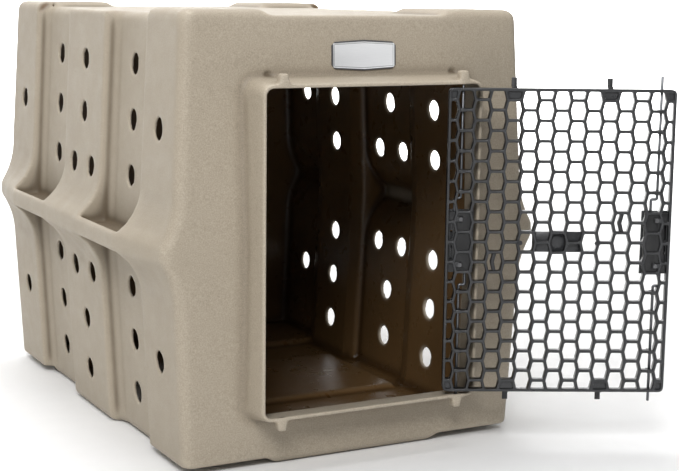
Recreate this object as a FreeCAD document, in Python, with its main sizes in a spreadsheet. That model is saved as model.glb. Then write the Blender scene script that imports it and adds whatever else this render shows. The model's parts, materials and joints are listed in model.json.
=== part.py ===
import FreeCAD, Part
import math
import os

import Sketcher
from FreeCAD import Placement, Rotation, Vector

# One-piece rotomoulded travel kennel with a reversible honeycomb door.
# Frame: +Z up, front of the kennel faces -Y, +X to the right of someone facing the rear,
# origin on the floor under the middle of the moulded body. Millimetres throughout.

SIZES = {
    # moulded body
    "body_top": 614.0,
    "belt_height": 299.5,
    "half_width_belt": 272.5,
    "half_width_top": 256.5,
    "half_width_bottom": 257.5,
    "half_depth_belt": 379.0,
    "half_depth_top": 366.0,
    "half_depth_bottom": 372.0,
    "wall": 5.0,
    "corner_radius": 16.0,
    "edge_radius": 13.0,
    "belt_crest": 306.5,
    "belt_crest_corner": 288.0,
    "belt_fade_y": 235.0,
    "belt_flat": 8.0,
    "belt_nose": 16.0,
    "belt_nose_drop": 4.0,
    "flare_height": 80.0,
    # pilasters and grooves on the long sides
    "groove_inner_y": 82.0,
    "groove_outer_y": 244.0,
    "groove_step": 26.0,
    "groove_depth": 16.0,
    "groove_crease_depth": 10.5,
    "groove_crease_lean": 2.5,
    "groove_belt_gap": 14.5,
    "belt_web": 5.0,
    "belt_lip": 8.0,
    # stacking pads on the roof and matching relief under the floor
    "pad_height": 8.0,
    "pad_base_x": 131.0,
    "pad_top_x": 143.0,
    "pad_y": 232.0,
    "foot_height": 9.0,
    "foot_low_x": 120.0,
    "foot_high_x": 136.0,
    "pad_slope_y": 10.0,
    # raised platform across the inside floor
    "platform_half_depth": 110.0,
    "platform_half_width": 213.0,
    "platform_height": 8.0,
    "platform_slope": 7.0,
    # ventilation holes
    "vent_radius": 15.0,
    "vent_row_low": 79.0,
    "vent_row_mid": 157.0,
    "vent_row_high": 235.0,
    "vent_groove_y": 163.0,
    "vent_pair_y": 38.2,
    "vent_end_y": 301.0,
    "vent_rear_pitch": 78.0,
    # door collar
    "lip_y": -419.5,
    "collar_root_y": -366.0,
    "opening_half_width": 161.0,
    "opening_bottom": 80.0,
    "opening_top": 514.0,
    "opening_radius": 9.0,
    "collar_draft": 8.0,
    "collar_fillet": 6.0,
    "receiver_height": 14.0,
    "receiver_base": 16.0,
    "receiver_tip": 11.0,
    "receiver_length": 13.0,
    "receiver_socket": 15.5,
    # nameplate
    "nameplate_x": 5.0,
    "nameplate_z": 553.0,
    "nameplate_width": 98.0,
    "nameplate_height": 36.0,
    "nameplate_peak": 2.5,
    "nameplate_thick": 2.0,
    "nameplate_rim": 2.5,
    # door
    "pivot_x": 136.5,
    "pivot_y": -414.0,
    "door_angle": 153.6,
    "door_half_width": 156.6,
    "door_bottom": 84.0,
    "door_height": 426.0,
    "door_front": 5.0,
    "door_thick": 12.0,
    "door_corner": 9.0,
    "door_rim": 4.0,
    "cell_pitch_x": 22.0,
    "cell_waist": 10.6,
    "cell_flat": 7.7,
    "cell_web": 3.8,
    # locking rods
    "rod_radius": 2.0,
    "rod_clearance": 0.1,
    "rod_tip": 18.0,
    "rod_tip_low": 14.0,
    "rod_jog_x": 8.3,
    "rod_jog_z": 61.0,
    "rod_end_z": 30.0,
    # latch units, measured from the rod line (inner is towards the middle of the door)
    "latch_half_height": 42.0,
    "latch_inner_x": 17.0,
    "latch_outer_x": 15.5,
    "latch_play": 0.3,
    "latch_wall": 1.5,
    "case_front": 3.2,
    "case_back": 4.5,
    "cover_front": 6.5,
    "cover_flange": 1.5,
    "cover_lap": 2.5,
    "spine_width": 2.0,
    "spine_half_height": 27.0,
    "window_width": 3.4,
    "window_low": 4.0,
    "window_high": 25.0,
    "slider_width": 11.0,
    "slider_height": 22.0,
    "slider_over_rod": 8.0,
    "slider_front": 2.9,
    "slider_back": 2.7,
    "slider_travel": 15.5,
    "tab_width": 8.0,
    "tab_height": 9.0,
    "tab_tip": 13.0,
    "tab_play": 0.4,
    "spring_radius": 2.1,
    "spring_wire": 0.45,
    "spring_pitch": 3.6,
    "screw_z": 32.0,
    "screw_shank": 1.3,
    "screw_head": 2.8,
    "screw_head_height": 1.6,
    "screw_end": 5.0,
    "post_radius": 2.3,
    "lug_radius": 4.0,
    "lug_reach": 8.0,
    # stop tabs bent from strip, badge, guide pins and hook clips on the door
    "stop_x": 66.0,
    "stop_width": 7.6,
    "stop_thick": 1.6,
    "stop_foot": 12.0,
    "stop_gap": 0.8,
    "stop_rise": 14.0,
    "stop_lean": 6.0,
    "badge_half_width": 35.0,
    "badge_half_height": 14.3,
    "badge_depth": 4.6,
    "badge_disc": 9.2,
    "badge_relief": 0.8,
    "pin_x": 53.5,
    "pin_radius": 3.3,
    "pin_height": 3.4,
    "clip_x": 88.0,
    "clip_z": 28.12,
    "clip_depth": 9.0,
    "clip_half_height": 12.1,
    "clip_half_width": 2.6,
    "clip_bow": 3.0,
}

SHEET = "Sizes"
doc = FreeCAD.newDocument("TravelKennel")
sheet = doc.addObject("Spreadsheet::Sheet", SHEET)
for row, (alias, size) in enumerate(SIZES.items(), start=1):
    sheet.set(f"A{row}", alias)
    sheet.set(f"B{row}", str(size))
    sheet.setAlias(f"B{row}", alias)
doc.recompute()


class Dim:
    """A length that keeps both its number and the sheet expression it comes from."""

    def __init__(self, value, text):
        self.value = value
        self.text = text

    def _join(self, other, sign, result):
        text = other.text if isinstance(other, Dim) else f"{other}"
        return Dim(result, f"({self.text} {sign} {text})")

    @staticmethod
    def _number(other):
        return other.value if isinstance(other, Dim) else float(other)

    def __add__(self, other):
        return self._join(other, "+", self.value + self._number(other))

    def __sub__(self, other):
        return self._join(other, "-", self.value - self._number(other))

    def __mul__(self, other):
        return self._join(other, "*", self.value * self._number(other))

    def __truediv__(self, other):
        return self._join(other, "/", self.value / self._number(other))

    def __neg__(self):
        return Dim(-self.value, f"(0 - {self.text})")


def dim(alias):
    return Dim(float(sheet.get(alias)), f"{SHEET}.{alias}")


def size(alias):
    return float(sheet.get(alias))


ZERO = Dim(0.0, "0")


# ---------------------------------------------------------------- document helpers

def bind(obj, prop, length):
    obj.setExpression(prop, length.text)


def bind_base(obj, x=ZERO, y=ZERO, z=ZERO):
    for axis, length in (("x", x), ("y", y), ("z", z)):
        obj.setExpression(f".Placement.Base.{axis}", length.text)


def box(name, low, high):
    """Part::Box between two corners given as Dim triples."""
    solid = doc.addObject("Part::Box", name)
    for prop, start, end in zip(("Length", "Width", "Height"), low, high):
        bind(solid, prop, end - start)
    bind_base(solid, *low)
    return solid


def rod_piece(name, radius, start, length, direction):
    """Part::Cylinder from start along +x, +y or +z."""
    solid = doc.addObject("Part::Cylinder", name)
    bind(solid, "Radius", radius)
    bind(solid, "Height", length)
    turn = {"x": Rotation(Vector(0, 1, 0), 90), "y": Rotation(Vector(1, 0, 0), -90), "z": Rotation()}
    solid.Placement = Placement(Vector(), turn[direction])
    bind_base(solid, *start)
    return solid


def ball(name, radius, centre):
    solid = doc.addObject("Part::Sphere", name)
    bind(solid, "Radius", radius)
    bind_base(solid, *centre)
    return solid


def join(name, pieces):
    union = doc.addObject("Part::MultiFuse", name)
    union.Shapes = pieces
    union.Refine = True
    return union


def subtract(name, base, tool):
    difference = doc.addObject("Part::Cut", name)
    difference.Base = base
    difference.Tool = tool
    difference.Refine = True
    return difference


def outline_sketch(body, name, plane_role, points):
    """Closed straight-sided sketch whose corners are bound to the sheet."""
    sketch = body.newObject("Sketcher::SketchObject", name)
    plane = [item for item in body.Origin.OriginFeatures if item.Role == plane_role][0]
    sketch.AttachmentSupport = [(plane, "")]
    sketch.MapMode = "FlatFace"
    count = len(points)
    for index in range(count):
        here, there = points[index], points[(index + 1) % count]
        start = Vector(here[0].value, here[1].value, 0)
        end = Vector(there[0].value, there[1].value, 0)
        sketch.addGeometry(Part.LineSegment(start, end), False)
    for index in range(count):
        sketch.addConstraint(Sketcher.Constraint("Coincident", index, 2, (index + 1) % count, 1))
    for index, point in enumerate(points):
        for kind, length in zip(("DistanceX", "DistanceY"), point):
            number = sketch.addConstraint(Sketcher.Constraint(kind, -1, 1, index, 1, length.value))
            sketch.setExpression(f"Constraints[{number}]", length.text)
    return sketch


def new_body(label):
    body = doc.addObject("PartDesign::Body", label)
    body.Label = label
    return body


def pad(body, sketch, length, reverse=False):
    feature = body.newObject("PartDesign::Pad", sketch.Name + "Pad")
    feature.Profile = sketch
    bind(feature, "Length", length)
    feature.Reversed = reverse
    return feature


def only_solid(shape):
    """The single solid a boolean should leave."""
    if len(shape.Solids) != 1:
        raise RuntimeError(f"expected one solid, got {len(shape.Solids)}")
    return shape.Solids[0]


def plain_feature(label, shape):
    feature = doc.addObject("Part::Feature", label)
    feature.Label = label
    feature.Shape = shape
    return feature


# ---------------------------------------------------------------- outline helpers

def rounded_wire(points, radii):
    """Closed wire through points, each corner rounded by its own radius (0 keeps it sharp)."""
    count = len(points)
    ends = []
    for index, (corner, radius) in enumerate(zip(points, radii)):
        if radius == 0:
            ends.append((corner, corner, None))
            continue
        to_last = (points[index - 1] - corner).normalize()
        to_next = (points[(index + 1) % count] - corner).normalize()
        half = to_last.getAngle(to_next) / 2
        reach = radius / math.tan(half)
        bisector = (to_last + to_next).normalize()
        middle = corner + bisector * (radius / math.sin(half) - radius)
        ends.append((corner + to_last * reach, corner + to_next * reach, middle))
    edges = []
    for index, (start, end, middle) in enumerate(ends):
        if middle is not None:
            edges.append(Part.Arc(start, middle, end).toShape())
        edges.append(Part.LineSegment(end, ends[(index + 1) % count][0]).toShape())
    return Part.Wire(edges)


def outward(solid):
    """The solid with its faces turned outwards, whichever way round its outline was drawn."""
    if solid.Volume < 0:
        solid.reverse()
    return solid


def prism(points, direction):
    """Solid swept from a closed polygon along a vector."""
    return outward(Part.Face(Part.makePolygon(points + points[:1])).extrude(direction))


def ruled_solid(wires):
    """Solid with straight sides between successive outlines."""
    return outward(Part.makeLoft(wires, True, True))


# ---------------------------------------------------------------- moulded body

def half_width(height, crest, inset):
    """Half width of the body at a height: drafted wall, concave flare, rounded belt crest."""
    belt = size("belt_height")
    rise = abs(height - belt)
    if height >= belt:
        slope = (size("half_width_belt") - size("half_width_top")) / (size("body_top") - belt)
    else:
        slope = (size("half_width_belt") - size("half_width_bottom")) / belt
    flare, nose, flat = size("flare_height"), size("belt_nose"), size("belt_flat")
    if rise >= flare:
        return size("half_width_belt") - slope * rise - inset
    foot = size("half_width_belt") - slope * flare
    gain = crest - size("belt_nose_drop") - foot
    reach = flare - nose
    radius = (reach**2 + gain**2) / (2 * gain)
    curve = foot + radius - math.sqrt((radius + inset) ** 2 - (flare - rise) ** 2) if rise > 0 else crest
    if rise > nose:
        return curve
    drop = size("belt_nose_drop") * (max(0.0, rise - flat) / (nose - flat)) ** 2
    return min(crest - drop - inset, curve)


def half_depth(height, inset):
    belt = size("belt_height")
    if height >= belt:
        part = (height - belt) / (size("body_top") - belt)
        return size("half_depth_belt") + (size("half_depth_top") - size("half_depth_belt")) * part - inset
    part = (belt - height) / belt
    return size("half_depth_belt") + (size("half_depth_bottom") - size("half_depth_belt")) * part - inset


def plan_outline(height, inset, shrink):
    """Plan outline of the body at a height, drawn in by the wall inset and an edge shrink."""
    corner = half_width(height, size("belt_crest_corner"), inset) - shrink
    middle = half_width(height, size("belt_crest"), inset) - shrink
    depth = half_depth(height, inset) - shrink
    fade = size("belt_fade_y")
    radius = max(size("corner_radius") - inset - 0.6 * shrink, 3.0)
    outline = [(-corner, -depth), (corner, -depth), (middle, -fade), (middle, fade),
               (corner, depth), (-corner, depth), (-middle, fade), (-middle, -fade)]
    radii = [radius, radius, 0, 0, radius, radius, 0, 0]
    return rounded_wire([Vector(x, y, height) for x, y in outline], radii)


def body_levels(low, high, radius):
    """Heights of the outlines, each with the shrink that rounds the roof and floor edges."""
    rounding = edge_shrinks(radius)
    flat, nose, flare = size("belt_flat"), size("belt_nose"), size("flare_height")
    rises = [flat, (flat + nose) / 2, nose]
    rises += [nose + (flare - nose) * step / 7 for step in range(1, 8)]
    belt = size("belt_height")
    levels = [(low + lift, shrink) for lift, shrink in rounding]
    levels += [(belt - rise, 0.0) for rise in reversed(rises)]
    levels += [(belt + rise, 0.0) for rise in rises]
    levels += [(high - lift, shrink) for lift, shrink in reversed(rounding)]
    return levels


def hull(inset):
    """Body without grooves; inset 0 gives the outside, the wall thickness gives the cavity."""
    low, high = inset, size("body_top") - inset
    levels = body_levels(low, high, size("edge_radius") - inset / 2)
    wires = [plan_outline(height, inset, shrink) for height, shrink in levels]
    return ruled_solid(wires)


def offset_profile(points, inset):
    """Open profile of (x, y) points with every side moved by the inset to its right."""
    lines = []
    for (x0, y0), (x1, y1) in zip(points, points[1:]):
        length = math.hypot(x1 - x0, y1 - y0)
        across, along = (y1 - y0) / length, (x1 - x0) / length
        lines.append((x0 + across * inset, y0 - along * inset, x1 - x0, y1 - y0))
    first, last = lines[0], lines[-1]
    moved = [(first[0], first[1])]
    for (ax, ay, adx, ady), (bx, by, bdx, bdy) in zip(lines, lines[1:]):
        step = ((bx - ax) * bdy - (by - ay) * bdx) / (adx * bdy - ady * bdx)
        moved.append((ax + adx * step, ay + ady * step))
    moved.append((last[0] + last[2], last[1] + last[3]))
    return moved


def groove_profile(wall, shrink, inset, outer):
    """Groove outline at one height: steep step, gentle step, floor, and the same on the way out."""
    near, far = size("groove_inner_y"), size("groove_outer_y")
    floor = wall - size("groove_depth") - shrink
    crease = wall - size("groove_crease_depth") - shrink
    lean, step = size("groove_crease_lean"), size("groove_step")
    half = [(outer, near), (wall - shrink, near), (crease, near + lean), (floor, near + step)]
    rest = [(floor, far - step), (crease, far - lean), (wall - shrink, far), (outer, far)]
    return offset_profile(half + rest, -inset)


def edge_shrinks(radius, steps=4):
    """(lift, shrink) pairs that round an edge, starting at the face."""
    angles = [math.pi / 2 * step / steps for step in range(steps + 1)]
    return [(radius * (1 - math.cos(angle)), radius * (1 - math.sin(angle))) for angle in angles]


def drafted_wall(height):
    """Half width of the plain drafted wall, without the flare."""
    belt = size("belt_height")
    if height >= belt:
        slope = (size("half_width_belt") - size("half_width_top")) / (size("body_top") - belt)
    else:
        slope = (size("half_width_belt") - size("half_width_bottom")) / belt
    return size("half_width_belt") - slope * abs(height - belt)


def groove_solid(side, end, levels, inset):
    """Cutter through (height, shrink, outer reach) levels of one groove."""
    wires = []
    for height, shrink, outer in levels:
        profile = groove_profile(drafted_wall(height), shrink, inset, outer)
        points = [Vector(side * x, end * y, height) for x, y in profile]
        wires.append(Part.makePolygon(points + points[:1]))
    return ruled_solid(wires)


def groove(side, end, upper, inset):
    """Cutter for one groove: between two pilasters, above or below the belt.

    The cavity's cutters meet at the belt plane, so no hollow runs through the belt here.
    """
    gap = 0.0 if inset else size("groove_belt_gap")
    belt, low_roof = size("belt_height"), size("body_top") - size("pad_height")
    radius = size("edge_radius") - inset
    outer = size("belt_crest") + 40
    if upper:
        levels = [(belt + gap, 0.0)]
        levels += [(low_roof - inset - lift, shrink) for lift, shrink in reversed(edge_shrinks(radius))]
        levels.append((size("body_top") + 20, radius))
    else:
        levels = [(-20.0, radius)]
        levels += [(inset + lift, shrink) for lift, shrink in edge_shrinks(radius)]
        levels.append((belt - gap, 0.0))
    return groove_solid(side, end, [(height, shrink, outer) for height, shrink in levels], inset)


def belt_pocket(side, end, upper):
    """Cutter behind the belt's lip: it leaves only a web on the belt plane between two grooves."""
    belt, web, gap = size("belt_height"), size("belt_web") / 2, size("groove_belt_gap")
    lip = size("belt_crest") - size("belt_lip")
    levels = [(belt + web, 0.0, lip - 1), (belt + gap, 0.0, lip)]
    if not upper:
        levels = [(belt - gap, 0.0, lip), (belt - web, 0.0, lip - 1)]
    return groove_solid(side, end, levels, 0.0)


def groove_places():
    return [(side, end, upper) for side in (-1, 1) for end in (-1, 1) for upper in (True, False)]


def grooves(inset):
    return [groove(*place, inset) for place in groove_places()]


def cross(low_x, high_x, low_y, high_y, low_z, high_z):
    """Cross-shaped block with sloping flanks: one bar along Y and one across it along X."""
    far = 450.0
    bar_y = [Vector(-low_x, -far, low_z), Vector(low_x, -far, low_z),
             Vector(high_x, -far, high_z), Vector(-high_x, -far, high_z)]
    bar_x = [Vector(-far, -low_y, low_z), Vector(-far, low_y, low_z),
             Vector(-far, high_y, high_z), Vector(-far, -high_y, high_z)]
    return prism(bar_y, Vector(0, 2 * far, 0)).fuse(prism(bar_x, Vector(2 * far, 0, 0)))


def roof_relief(inset):
    """Everything above the low roof except the four corner pads."""
    rise = size("pad_height") + 10
    spread_x = (size("pad_top_x") - size("pad_base_x")) * rise / size("pad_height")
    spread_y = size("pad_slope_y") * rise / size("pad_height")
    base_x, base_y = size("pad_base_x") + inset, size("pad_y") - size("pad_slope_y") + inset
    low = size("body_top") - size("pad_height") - inset
    return cross(base_x, base_x + spread_x, base_y, base_y + spread_y, low, low + rise)


def floor_relief(inset):
    """The four corner recesses under the floor that the pads of a kennel below fit into."""
    high = size("foot_height") + inset
    drop = 20.0
    spread_x = (size("foot_high_x") - size("foot_low_x")) * drop / size("foot_height")
    spread_y = size("pad_slope_y") * drop / size("foot_height")
    high_x, high_y = size("foot_high_x") - inset, size("pad_y") - inset
    foot = cross(high_x - spread_x, high_x, high_y - spread_y, high_y, high - drop, high)
    slab = Part.makeBox(700, 900, drop, Vector(-350, -450, high - drop))
    return slab.cut(foot)


def platform():
    """Raised platform across the inside floor, with sloping edges."""
    slope = size("platform_slope")
    wires = []
    for height, grow in ((0.0, slope), (size("wall") + size("platform_height"), 0.0)):
        x, y = size("platform_half_width") + grow, size("platform_half_depth") + grow
        points = [Vector(-x, -y, height), Vector(x, -y, height), Vector(x, y, height), Vector(-x, y, height)]
        wires.append(rounded_wire(points, [slope] * 4))
    return ruled_solid(wires)


def opening_wire(y, grow):
    """Rounded door opening outline at depth y, grown by a margin."""
    x = size("opening_half_width") + grow
    low, high = size("opening_bottom") - grow, size("opening_top") + grow
    points = [Vector(-x, y, low), Vector(x, y, low), Vector(x, y, high), Vector(-x, y, high)]
    return rounded_wire(points, [size("opening_radius") + grow] * 4)


def collar_loft(front_y, rear_y, margin):
    """Collar around the opening; it widens towards the body by its draft."""
    lip, root = size("lip_y"), size("collar_root_y")
    grade = size("collar_draft") / (root - lip)
    wires = [opening_wire(y, margin + grade * (y - lip)) for y in (front_y, rear_y)]
    return ruled_solid(wires)


def receiver(side, upper):
    """Moulded block on the rim that a locking rod runs into."""
    start = size("opening_top") + size("wall") / 2 if upper else size("opening_bottom") - size("wall") / 2
    way = 1 if upper else -1
    base, tip = size("receiver_base") / 2, size("receiver_tip") / 2
    height = size("wall") / 2 + size("receiver_height")
    x, y = side * size("pivot_x"), size("lip_y")
    points = [Vector(x - base, y, start), Vector(x + base, y, start),
              Vector(x + tip, y, start + way * height), Vector(x - tip, y, start + way * height)]
    return prism(points, Vector(0, size("receiver_length"), 0))


def rod_socket(side, upper):
    """Blind hole through the rim into the receiver."""
    radius = size("rod_radius") + size("rod_clearance")
    reach = size("receiver_socket") + 5
    start = size("opening_top") - 5 if upper else size("opening_bottom") + 5 - reach
    place = Vector(side * size("pivot_x"), size("pivot_y"), start)
    return Part.makeCylinder(radius, reach, place, Vector(0, 0, 1))


def vent_places():
    """(y, height) of the holes drilled through each long side."""
    low, mid, high = size("vent_row_low"), size("vent_row_mid"), size("vent_row_high")
    places = []
    for way in (-1, 1):
        for end in (-1, 1):
            places += [(end * size("vent_groove_y"), way * row) for row in (low, mid, high)]
            places.append((end * size("vent_pair_y"), way * low))
            places.append((end * size("vent_end_y"), way * mid))
        places += [(0.0, way * row) for row in (mid, high)]
    return [(y, size("belt_height") + rise) for y, rise in places]


def vent_cutters():
    radius, reach = size("vent_radius"), 130.0
    cutters = []
    for y, height in vent_places():
        for side in (-1, 1):
            start = Vector(side * 200, y, height)
            cutters.append(Part.makeCylinder(radius, reach, start, Vector(side, 0, 0)))
    for way in (-1, 1):
        for column in (-1, 0, 1):
            height = size("belt_height") + way * size("vent_row_mid")
            start = Vector(column * size("vent_rear_pitch"), 330, height)
            cutters.append(Part.makeCylinder(radius, reach, start, Vector(0, 1, 0)))
    return cutters


def collar_root_edges(shape):
    """Edges where the collar leaves the front wall."""
    half, reach = size("opening_half_width") + 20, size("half_depth_belt") + 1
    edges = []
    for edge in shape.Edges:
        box_of = edge.BoundBox
        at_front = -reach < box_of.YMin and box_of.YMax < -size("half_depth_top") - 1
        near = box_of.XMin > -half and box_of.XMax < half
        above = box_of.ZMin > size("opening_bottom") - 20 and box_of.ZMax < size("opening_top") + 20
        if at_front and near and above:
            edges.append(edge)
    return edges


def build_shell():
    wall = size("wall")
    pockets = [belt_pocket(*place) for place in groove_places()]
    outside = hull(0.0).cut(grooves(0.0) + pockets + [roof_relief(0.0), floor_relief(0.0)])
    cavity = hull(wall).cut(grooves(wall) + [roof_relief(wall), floor_relief(wall), platform()])
    collar = collar_loft(size("lip_y"), size("collar_root_y") + 6, wall)
    solid = outside.fuse(collar).removeSplitter()
    solid = solid.makeFillet(size("collar_fillet"), collar_root_edges(solid))
    passage = collar_loft(size("lip_y") - 10, size("collar_root_y") + 30, 0.0)
    receivers = [receiver(side, upper) for side in (-1, 1) for upper in (True, False)]
    sockets = [rod_socket(side, upper) for side in (-1, 1) for upper in (True, False)]
    solid = solid.fuse(receivers).cut([cavity, passage] + sockets + vent_cutters())
    return plain_feature("body_shell", only_solid(solid))


# ---------------------------------------------------------------- nameplate

def build_nameplate():
    """Blank plate with slightly peaked long edges, lying on the drafted front wall."""
    body = new_body("nameplate")
    half, tall, peak = dim("nameplate_width") / 2, dim("nameplate_height") / 2, dim("nameplate_peak")
    cut_x, cut_z = dim("nameplate_rim") * 2, dim("nameplate_rim") * 2
    outline = [(-half, -tall + cut_z), (-half + cut_x, -tall), (ZERO, -tall - peak), (half - cut_x, -tall),
               (half, -tall + cut_z), (half, tall - cut_z), (half - cut_x, tall), (ZERO, tall + peak),
               (-half + cut_x, tall), (-half, tall - cut_z)]
    plate = outline_sketch(body, "NameplateOutline", "XZ_Plane", outline)
    pad(body, plate, dim("nameplate_thick"))
    rim = dim("nameplate_rim")
    inner = [(-half + rim, -tall + cut_z), (-half + cut_x, -tall + rim), (ZERO, -tall - peak + rim),
             (half - cut_x, -tall + rim), (half - rim, -tall + cut_z), (half - rim, tall - cut_z),
             (half - cut_x, tall - rim), (ZERO, tall + peak - rim), (-half + cut_x, tall - rim),
             (-half + rim, tall - cut_z)]
    field = outline_sketch(body, "NameplateField", "XZ_Plane", inner)
    field.AttachmentOffset = Placement(Vector(0, 0, size("nameplate_thick")), Rotation())
    pocket = body.newObject("PartDesign::Pocket", "NameplateFieldPocket")
    pocket.Profile = field
    bind(pocket, "Length", dim("nameplate_thick") * 0.3)
    tilt = math.degrees(math.atan2(size("half_depth_belt") - size("half_depth_top"),
                                   size("body_top") - size("belt_height")))
    wall_y = -half_depth(size("nameplate_z"), 0.0)
    body.Placement = Placement(Vector(size("nameplate_x"), wall_y, size("nameplate_z")),
                               Rotation(Vector(1, 0, 0), -tilt))
    return body


# ---------------------------------------------------------------- door
# Door pieces are drawn closed, with the pivot axis at their own x = 0, y = 0,
# then turned open about that axis. "side" is +1 at the hinge, -1 at the free edge.

DOOR_CENTRE_X = -dim("pivot_x")
DOOR_MIDDLE_Z = dim("door_bottom") + dim("door_height") / 2


def hang(feature):
    """Place a door piece on the pivot, swung open by the door angle."""
    feature.Placement = Placement(Vector(), Rotation(Vector(0, 0, 1), size("door_angle")))
    bind_base(feature, dim("pivot_x"), dim("pivot_y"), ZERO)
    feature.setExpression(".Placement.Rotation.Angle", f"{SHEET}.door_angle")
    return feature


def cell_wire(x, z, low, high):
    """Tall hexagonal cell centred on (x, z), clipped to the heights low..high."""
    waist, flat = size("cell_waist"), size("cell_flat")
    half = (cell_pitch_z() - size("cell_web")) / 2
    bottom, top = max(z - half, low), min(z + half, high)

    def reach(height):
        return waist - (waist - flat) * abs(height - z) / half

    right = [(reach(bottom), bottom)]
    if bottom < z < top:
        right.append((waist, z))
    right.append((reach(top), top))
    left = [(-offset, height) for offset, height in reversed(right)]
    return [Vector(x + offset, 0, height) for offset, height in right + left]


def cell_pitch_z():
    return (size("door_height") - 2 * size("door_rim") + size("cell_web")) / 15


def filled_cell(column, row_z):
    """Cells that are moulded shut: the corners and the roots of the stop clips."""
    middle = DOOR_MIDDLE_Z.value
    at_end = abs(row_z - middle) > size("door_height") / 2 - 8
    return at_end and abs(column) in (3, 7)


def panel_cells():
    """Cell outlines: 13 full columns and a half column along each edge."""
    pitch_z = cell_pitch_z()
    middle = DOOR_MIDDLE_Z.value
    low = size("door_bottom") + size("door_rim")
    high = low + size("door_height") - 2 * size("door_rim")
    edge = size("door_half_width") - size("door_rim")
    cells = []
    for column in range(-7, 8):
        x = column * size("cell_pitch_x")
        shift = 0.0 if column % 2 == 0 else pitch_z / 2
        count = 15 if column % 2 == 0 else 16
        for row in range(count):
            z = middle + (row - (count - 1) / 2) * pitch_z
            if filled_cell(column, z):
                continue
            points = cell_wire(x, z, low, high)
            points = [Vector(max(-edge, min(edge, p.x)), p.y, p.z) for p in points]
            clean = [p for index, p in enumerate(points) if p.distanceToPoint(points[index - 1]) > 0.01]
            cells.append(Part.makePolygon(clean + clean[:1]))
    return cells


def rod_line_x(side):
    return DOOR_CENTRE_X + dim("pivot_x") * side


def latch_span(side, margin=0.0):
    """x limits of a latch unit: wider towards the middle of the door than towards its edge."""
    x = rod_line_x(side)
    inner, outer = dim("latch_inner_x") + margin, dim("latch_outer_x") + margin
    return (x - inner, x + outer) if side > 0 else (x - outer, x + inner)


def latch_recess(side):
    """Cutters in the panel: pocket for a latch unit and open channels for the cranked rods."""
    play, middle = size("latch_play"), DOOR_MIDDLE_Z.value
    front = -size("door_front") - 1
    low_x, high_x = latch_span(side, play)
    tall = size("latch_half_height") + play
    pocket = Part.makeBox(high_x.value - low_x.value, size("case_back") - front, 2 * tall,
                          Vector(low_x.value, front, middle - tall))
    rod_x = rod_line_x(side).value
    half = size("rod_radius") + play
    jog, top = size("rod_jog_x"), size("rod_jog_z") + half
    cutters = [pocket]
    for way in (-1, 1):
        low = min(0.0, way * jog) - half
        bottom = tall - 1
        base = middle + bottom if way > 0 else middle - top
        cutters.append(Part.makeBox(jog + 2 * half, half - front, top - bottom,
                                    Vector(rod_x + low, front, base)))
    return cutters


def screw_lugs(side):
    """Lugs behind the cells that the latch screws bear on."""
    x, radius, reach = rod_line_x(side).value, size("lug_radius"), size("lug_reach")
    back = size("door_thick") - size("door_front")
    depth = back - size("case_back")
    lugs = []
    for way in (-1, 1):
        z = DOOR_MIDDLE_Z.value + way * size("screw_z")
        start = x if side > 0 else x - reach
        lugs.append(Part.makeCylinder(radius, depth, Vector(x, back - depth, z), Vector(0, 1, 0)))
        lugs.append(Part.makeBox(reach, depth, 2 * radius, Vector(start, back - depth, z - radius)))
    return lugs


def screw_holes(side, radius):
    x = rod_line_x(side).value
    return [Part.makeCylinder(radius, 20, Vector(x, -5, DOOR_MIDDLE_Z.value + way * size("screw_z")),
                              Vector(0, 1, 0)) for way in (-1, 1)]


def stop_slot(side, way):
    """Slot in a filled edge cell that a stop tab is pressed into."""
    width = size("stop_width")
    x = DOOR_CENTRE_X.value + side * size("stop_x") - width / 2
    deep = size("stop_foot")
    edge = DOOR_MIDDLE_Z.value + way * size("door_height") / 2
    low = edge - deep if way > 0 else edge
    return Part.makeBox(width, size("stop_thick"), deep, Vector(x, -size("stop_thick"), low))


def badge_pocket():
    half, tall = size("badge_half_width"), size("badge_half_height")
    return Part.makeBox(2 * half, size("badge_depth"), 2 * tall,
                        Vector(DOOR_CENTRE_X.value - half, -size("door_front"), DOOR_MIDDLE_Z.value - tall))


def build_door_panel():
    """Honeycomb panel: one face pierced by every cell, given its thickness."""
    half, low = size("door_half_width"), size("door_bottom")
    high = low + size("door_height")
    corners = [Vector(-half, 0, low), Vector(half, 0, low), Vector(half, 0, high), Vector(-half, 0, high)]
    outer = rounded_wire(corners, [size("door_corner")] * 4)
    face = Part.Face([outer] + panel_cells(), "Part::FaceMakerBullseye")
    panel = face.extrude(Vector(0, size("door_thick"), 0))
    panel.translate(Vector(DOOR_CENTRE_X.value, -size("door_front"), 0))
    lugs = []
    cutters = [badge_pocket()]
    radius = size("rod_radius") + size("rod_clearance")
    for side in (-1, 1):
        start = Vector(rod_line_x(side).value, 0, low - 1)
        cutters.append(Part.makeCylinder(radius, size("door_height") + 2, start, Vector(0, 0, 1)))
        cutters += latch_recess(side)
        cutters += [stop_slot(side, way) for way in (-1, 1)]
        cutters += screw_holes(side, size("screw_shank") + 0.1)
        lugs += screw_lugs(side)
    panel = panel.fuse(lugs).cut(cutters)
    return hang(plain_feature("door_panel", only_solid(panel)))


# ---------------------------------------------------------------- locking rods and latch units
# "way" is +1 for the upper rod of a latch unit and -1 for the lower one.

def lane_x(side, way):
    """Middle of the lane a slider runs in; the rod is cranked over to it."""
    return rod_line_x(side) + dim("rod_jog_x") * way


def along(way, start, end):
    """Heights start..end from the door's middle, mirrored for the lower rod."""
    if way > 0:
        return DOOR_MIDDLE_Z + start, DOOR_MIDDLE_Z + end
    return DOOR_MIDDLE_Z - end, DOOR_MIDDLE_Z - start


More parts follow.
